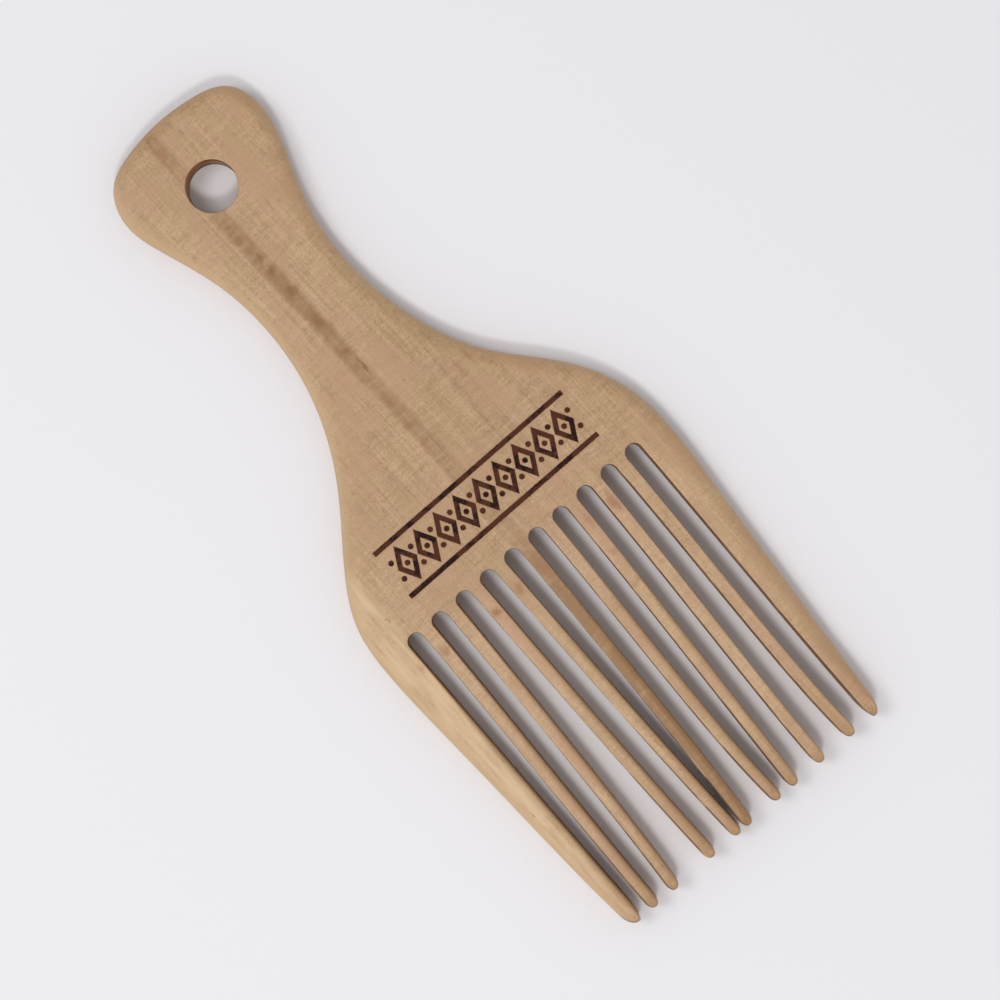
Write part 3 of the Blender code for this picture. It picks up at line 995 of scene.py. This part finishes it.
def band_share(finish, band, grown):
    """Shares of the burnt band on the upper face, and of the singed wood beside it.

    The band is two lines, with a row of hollow lozenges and dots between. With
    c the distance from the nearest lozenge's middle and y the distance from
    the band's middle line, a lozenge's edge is where c/a + y/b is 1, a and b
    being half its width and height. The wood is burnt where the distance to
    the nearest edge is less than half a line's width.
    """
    half_width = band.lozenge_width / 2 / MM
    half_height = band.lozenge_height / 2 / MM
    half_line = band.line / 2 / MM
    pitch = band.pitch / MM
    row_end = int(band.length / band.pitch) * pitch / 2
    dots_end = row_end + band.dot / 2 / MM + RAGGED
    middle = (BAND_CENTRE_X, ROOTS_Y + band.from_roots / MM, 0.0)
    ragged = finish.shake(grown, RAGGED_CELLS, (RAGGED, RAGGED))
    parts = finish.split(finish.vector("SUBTRACT", ragged, middle))
    across = finish.math("ABSOLUTE", parts["X"])
    height = finish.math("ABSOLUTE", parts["Y"])
    cell = finish.math("WRAP", parts["X"], pitch / 2, -pitch / 2)
    cell = finish.math("ABSOLUTE", cell)

    lines = finish.math("ABSOLUTE", finish.math("SUBTRACT", height, band.spread / 2 / MM))
    past_end = finish.math("SUBTRACT", across, (band.length - band.line) / 2 / MM)
    lines = finish.math("MAXIMUM", lines, past_end)
    share_up = finish.math("DIVIDE", height, half_height)
    lozenge = finish.math("ADD", finish.math("DIVIDE", cell, half_width), share_up)
    slope = math.hypot(1 / half_width, 1 / half_height)
    lozenge = finish.math("DIVIDE", finish.math("SUBTRACT", lozenge, 1.0), slope)
    lozenge = finish.math("ABSOLUTE", lozenge)
    dot_radius = (band.dot - band.line) / 2 / MM
    spot = finish.add("ShaderNodeCombineXYZ", {0: cell, 1: height}).outputs[0]
    inner_dot = finish.math("SUBTRACT", finish.length(spot), dot_radius)
    row_edge = (pitch / 2, half_height * DOT_HEIGHT_SHARE, 0.0)
    outer_dot = finish.math("SUBTRACT", finish.length(finish.vector("SUBTRACT", spot, row_edge)), dot_radius)
    lozenge = finish.math("MINIMUM", lozenge, inner_dot)
    lozenge = finish.math("MAXIMUM", lozenge, finish.math("SUBTRACT", across, row_end - half_line))
    outer_dot = finish.math("MAXIMUM", outer_dot, finish.math("SUBTRACT", across, dots_end - half_line))
    distance_to_ink = finish.math("MINIMUM", lines, finish.math("MINIMUM", lozenge, outer_dot))
    burnt = finish.fade(distance_to_ink, half_line + BURN_SOFTNESS, half_line - BURN_SOFTNESS)
    singed = finish.fade(distance_to_ink, half_line + SINGE_REACH, half_line, SINGE_SHARE)
    upper = finish.math("GREATER_THAN", finish.split(grown)["Z"], UPPER_FACE_Z)
    return finish.math("MULTIPLY", burnt, upper), finish.math("MULTIPLY", singed, upper)


def grown_color(finish, wood, grown, grain):
    """Colour of the wood as it grew: sapwood, heart streak, marks and flecks, and browner teeth ends."""
    color = plain_wood(finish, wood, grown, grain)
    color = finish.mix(sapwood_share(finish, grown), color, wood.sap_and_highlight)
    color = finish.mix(streak_share(finish, grown), color, wood.heart)
    color = finish.mix(marks_share(finish, grown, STREAK_MARKS), color, wood.core)
    color = finish.mix(marks_share(finish, grown, BROWN_MARKS), color, wood.mark)
    flecks = finish.math("MULTIPLY", flecks_share(finish, grain), FLECK_SHARE)
    color = finish.mix(flecks, color, wood.core)
    along = finish.split(grown)["Y"]
    color = finish.mix(finish.fade(along, *BROWN_TEETH_FADE), color, wood.mark)
    return finish.mix(finish.fade(along, *BROWN_ENDS_FADE), color, wood.core)


def edge_color(finish, wood, grown, cutness, color):
    """The colour as it is on rims, walls and arrises, and unchanged on the flat faces.

    Sanded rims are warmer, and their paler tone is partly painted sheen of the
    lamps on the rounding. A painted highlight makes every surface pale where it
    faces left, towards the lamps. Cut walls are brown, end grain is browner, and
    soot darkens the walls towards the lower face, most where they face left. The
    upper left arrises have a thin dark line that comes and goes.
    """
    height = finish.split(grown)["Z"]
    facing = finish.split(finish.add("ShaderNodeTexCoord", {}).outputs["Normal"])
    flat = finish.math("ABSOLUTE", facing["Z"])
    # Warmer rims; their paler tone is partly painted sheen from the lamps
    color = finish.mix(finish.fade(flat, *RIM_FACING), color, wood.rim)
    # Painted highlight: paler where the surface faces left, towards the lamps
    color = finish.mix(finish.fade(facing["X"], *LIT_SIDE_HIGHLIGHT_FACING), color, wood.sap_and_highlight)
    color = finish.mix(finish.math("MULTIPLY", cutness, WALL_SHARE), color, wood.wall)

    end_grain = finish.fade(finish.math("ABSOLUTE", facing["Y"]), *END_GRAIN_FACING)
    share = finish.math("MULTIPLY_ADD", cutness, END_GRAIN_ON_WALLS, END_GRAIN_SHARE)
    color = finish.mix(finish.math("MULTIPLY", end_grain, share), color, wood.mark)

    soot = finish.swing(finish.noise(grown, *SOOT_NOISE), SOOT_SWING)
    soot = finish.fade(finish.math("ADD", height, soot), *SOOT_HEIGHT)
    share = finish.math("ADD", finish.fade(facing["X"], *SOOT_FACING), SOOT_SHARE)
    soot = finish.math("MULTIPLY", finish.math("MULTIPLY", soot, share), cutness)
    color = finish.mix(soot, color, wood.scorched)

    left = finish.fade(facing["X"], *ARRIS_FACING)
    arris = finish.math("MULTIPLY", finish.fade(cutness, *ARRIS_CUTNESS), left)
    patches = finish.fade(finish.noise(grown, *ARRIS_NOISE), *ARRIS_PATCHES)
    patches = finish.math("MULTIPLY", patches, finish.fade(height, *ARRIS_HEIGHT))
    return finish.mix(finish.math("MULTIPLY", arris, patches), color, wood.scorched)


def burnt_color(finish, band, grown):
    """Colour of the burnt wood, with charred patches and the fine lines in which it was burnt."""
    char = finish.fade(finish.noise(grown, *CHAR_NOISE), *CHAR_FADE)
    raster = finish.swing(finish.noise(grown, *RASTER_NOISE), RASTER_SWING)
    char = finish.math("ADD", char, raster, clamp=True)
    return finish.mix(char, band.burnt, band.charred)


def wood_finish(wood, band):
    """Oiled pale hardwood with its heart streak, marks, sanded rims, scorched walls and burnt band."""
    finish = Finish("oiled_pale_hardwood")
    grown, grain = grain_places(finish)
    cutness = finish.attribute("cutness")
    burnt, singed = band_share(finish, band, grown)
    color = grown_color(finish, wood, grown, grain)
    color = edge_color(finish, wood, grown, cutness, color)
    color = finish.mix(singed, color, wood.mark)
    color = finish.mix(burnt, color, burnt_color(finish, band, grown))

    pores = finish.noise(grain, *PORE_NOISE)
    dull = finish.math("MAXIMUM", burnt, cutness)
    gloss = finish.math("ADD", finish.swing(pores, PORE_ROUGHNESS), wood.roughness)
    relief = finish.math("MULTIPLY_ADD", burnt, -BURN_DEPTH, finish.swing(pores, PORE_DEPTH))
    bump = finish.add("ShaderNodeBump", {"Height": relief, "Distance": MM, "Strength": 1.0})
    sockets = finish.shader.inputs
    finish.feed(sockets["Base Color"], color)
    finish.feed(sockets["Roughness"], finish.math("MULTIPLY_ADD", dull, DULL_ROUGHNESS, gloss))
    specular = finish.math("MULTIPLY_ADD", dull, DULL_SPECULAR, OILED_SPECULAR)
    finish.feed(sockets["Specular IOR Level"], specular)
    finish.feed(sockets["Normal"], bump.outputs[0])
    return finish.material


class HAIRPICK_OT_board(bpy.types.Operator):
    """Build the comb: one board with its slots, hanging hole and wood finish"""

    bl_idname = "hair_pick.board"
    bl_label = "Board"

    def execute(self, context):
        board = bpy.data.objects.new("hair_pick_board", board_mesh(context.scene.hair_pick_shape))
        context.scene.collection.objects.link(board)
        board.data.materials.append(wood_finish(context.scene.hair_pick_wood, context.scene.hair_pick_band))
        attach(board, "root")
        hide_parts("comb_board")
        return {"FINISHED"}


class HairPickStudio(bpy.types.PropertyGroup):
    """Floor, lamps and camera."""

    floor_color: color("Floor", "Colour of the floor", (0.858, 0.846, 0.860))
    floor_shade: color("Floor shade", "Colour of the floor's faint cloudy patches", (0.846, 0.834, 0.850))
    sky_color: color("Sky", "Colour of the soft light from all round", (0.95, 0.96, 1.0))
    backdrop_color: color("Backdrop", "Colour that the camera sees beyond the floor", (0.80, 0.79, 0.81))
    camera_height: distance("Camera height", "Camera above the middle of the board", 600 * MM)
    view_width: distance("View width", "Width of what the camera sees at the board", 190.0 * MM)


def add_floor(studio):
    """A square sheet of matt paper under the comb, with faint cloudy patches."""
    corners = [(-1, -1, 0), (1, -1, 0), (1, 1, 0), (-1, 1, 0)]
    mesh = bpy.data.meshes.new("studio_floor")
    mesh.from_pydata(np.array(corners) * FLOOR_REACH, [], [(0, 1, 2, 3)])
    floor = bpy.data.objects.new("studio_floor", mesh)
    bpy.context.scene.collection.objects.link(floor)
    finish = Finish("matt_paper")
    here = finish.add("ShaderNodeTexCoord", {}).outputs["Object"]
    clouds = finish.noise(here, FLOOR_CLOUDS, FLOOR_CLOUDS)
    color = finish.mix(clouds, studio.floor_shade, studio.floor_color)
    finish.feed(finish.shader.inputs["Base Color"], color)
    finish.feed(finish.shader.inputs["Roughness"], PAPER_ROUGHNESS)
    mesh.materials.append(finish.material)


def add_lamps():
    """Soft round lamps, each LAMP_DISTANCE from the middle of the floor and aimed at it."""
    for name, direction, elevation, size, power in LAMPS:
        lamp = bpy.data.lights.new(name, "AREA")
        lamp.shape = "DISK"
        lamp.size = size
        lamp.energy = power
        holder = bpy.data.objects.new(name, lamp)
        flat = math.cos(math.radians(elevation))
        towards = Vector((direction[0] * flat, direction[1] * flat, math.sin(math.radians(elevation))))
        holder.location = towards * LAMP_DISTANCE
        holder.rotation_euler = towards.to_track_quat("Z", "Y").to_euler()
        bpy.context.scene.collection.objects.link(holder)


def add_world(studio):
    """Soft light from all round. The camera itself sees a plain pale backdrop in its place."""
    world = bpy.data.worlds.new("studio_world")
    world.use_nodes = True
    nodes, links = world.node_tree.nodes, world.node_tree.links
    light = nodes["Background"]
    light.inputs["Color"].default_value = (*studio.sky_color, 1)
    light.inputs["Strength"].default_value = SKY_STRENGTH
    backdrop = nodes.new("ShaderNodeBackground")
    backdrop.inputs["Color"].default_value = (*studio.backdrop_color, 1)
    seen = nodes.new("ShaderNodeMixShader")
    links.new(nodes.new("ShaderNodeLightPath").outputs["Is Camera Ray"], seen.inputs[0])
    links.new(light.outputs[0], seen.inputs[1])
    links.new(backdrop.outputs[0], seen.inputs[2])
    links.new(seen.outputs[0], nodes["World Output"].inputs["Surface"])
    bpy.context.scene.world = world


def add_camera(studio):
    """The camera straight above the board, its lens chosen for the width of the view."""
    camera = bpy.data.cameras.new("camera")
    camera.sensor_width = SENSOR_WIDTH
    camera.lens = camera.sensor_width * studio.camera_height / studio.view_width
    holder = bpy.data.objects.new("camera", camera)
    holder.location = (*CAMERA_PLACE, MIDDLE_Z + studio.camera_height)
    holder.rotation_euler = (0, 0, math.radians(CAMERA_TURN))
    bpy.context.scene.collection.objects.link(holder)
    bpy.context.scene.camera = holder


class HAIRPICK_OT_studio(bpy.types.Operator):
    """Set the stage: a pale floor, two soft lamps and the camera"""

    bl_idname = "hair_pick.studio"
    bl_label = "Studio"

    def execute(self, context):
        studio = context.scene.hair_pick_studio
        add_floor(studio)
        add_lamps()
        add_world(studio)
        add_camera(studio)
        context.scene.view_settings.view_transform = "Standard"
        return {"FINISHED"}


class HAIRPICK_PT_panel(bpy.types.Panel):
    """Sidebar panel with the pick's sizes, colours and build buttons"""

    bl_idname = "HAIRPICK_PT_panel"
    bl_label = "Hair Pick"
    bl_space_type = "VIEW_3D"
    bl_region_type = "UI"
    bl_category = "Hair Pick"

    def draw(self, context):
        for owner, operator in PANEL_GROUPS:
            group = getattr(context.scene, owner)
            box = self.layout.box()
            for name in group.__annotations__:
                box.prop(group, name)
            if operator:
                box.operator(operator)


PANEL_GROUPS = (
    ("hair_pick_shape", None),
    ("hair_pick_band", None),
    ("hair_pick_wood", "hair_pick.board"),
    ("hair_pick_studio", "hair_pick.studio"),
)
GROUP_CLASSES = {
    "hair_pick_shape": HairPickShape,
    "hair_pick_band": HairPickBand,
    "hair_pick_wood": HairPickWood,
    "hair_pick_studio": HairPickStudio,
}
CLASSES = (*GROUP_CLASSES.values(), HAIRPICK_OT_board, HAIRPICK_OT_studio, HAIRPICK_PT_panel)


def register():
    """Registers the classes and puts each group of values on the scene."""
    for item in CLASSES:
        bpy.utils.register_class(item)
    for name, group in GROUP_CLASSES.items():
        setattr(bpy.types.Scene, name, bpy.props.PointerProperty(type=group))


def unregister():
    """Takes the groups off the scene and the classes out of Blender."""
    for name in GROUP_CLASSES:
        delattr(bpy.types.Scene, name)
    for item in reversed(CLASSES):
        bpy.utils.unregister_class(item)


def main():
    """Builds the comb and its studio."""
    register()
    bpy.ops.hair_pick.board()
    bpy.ops.hair_pick.studio()


if __name__ == "__main__":
    main()
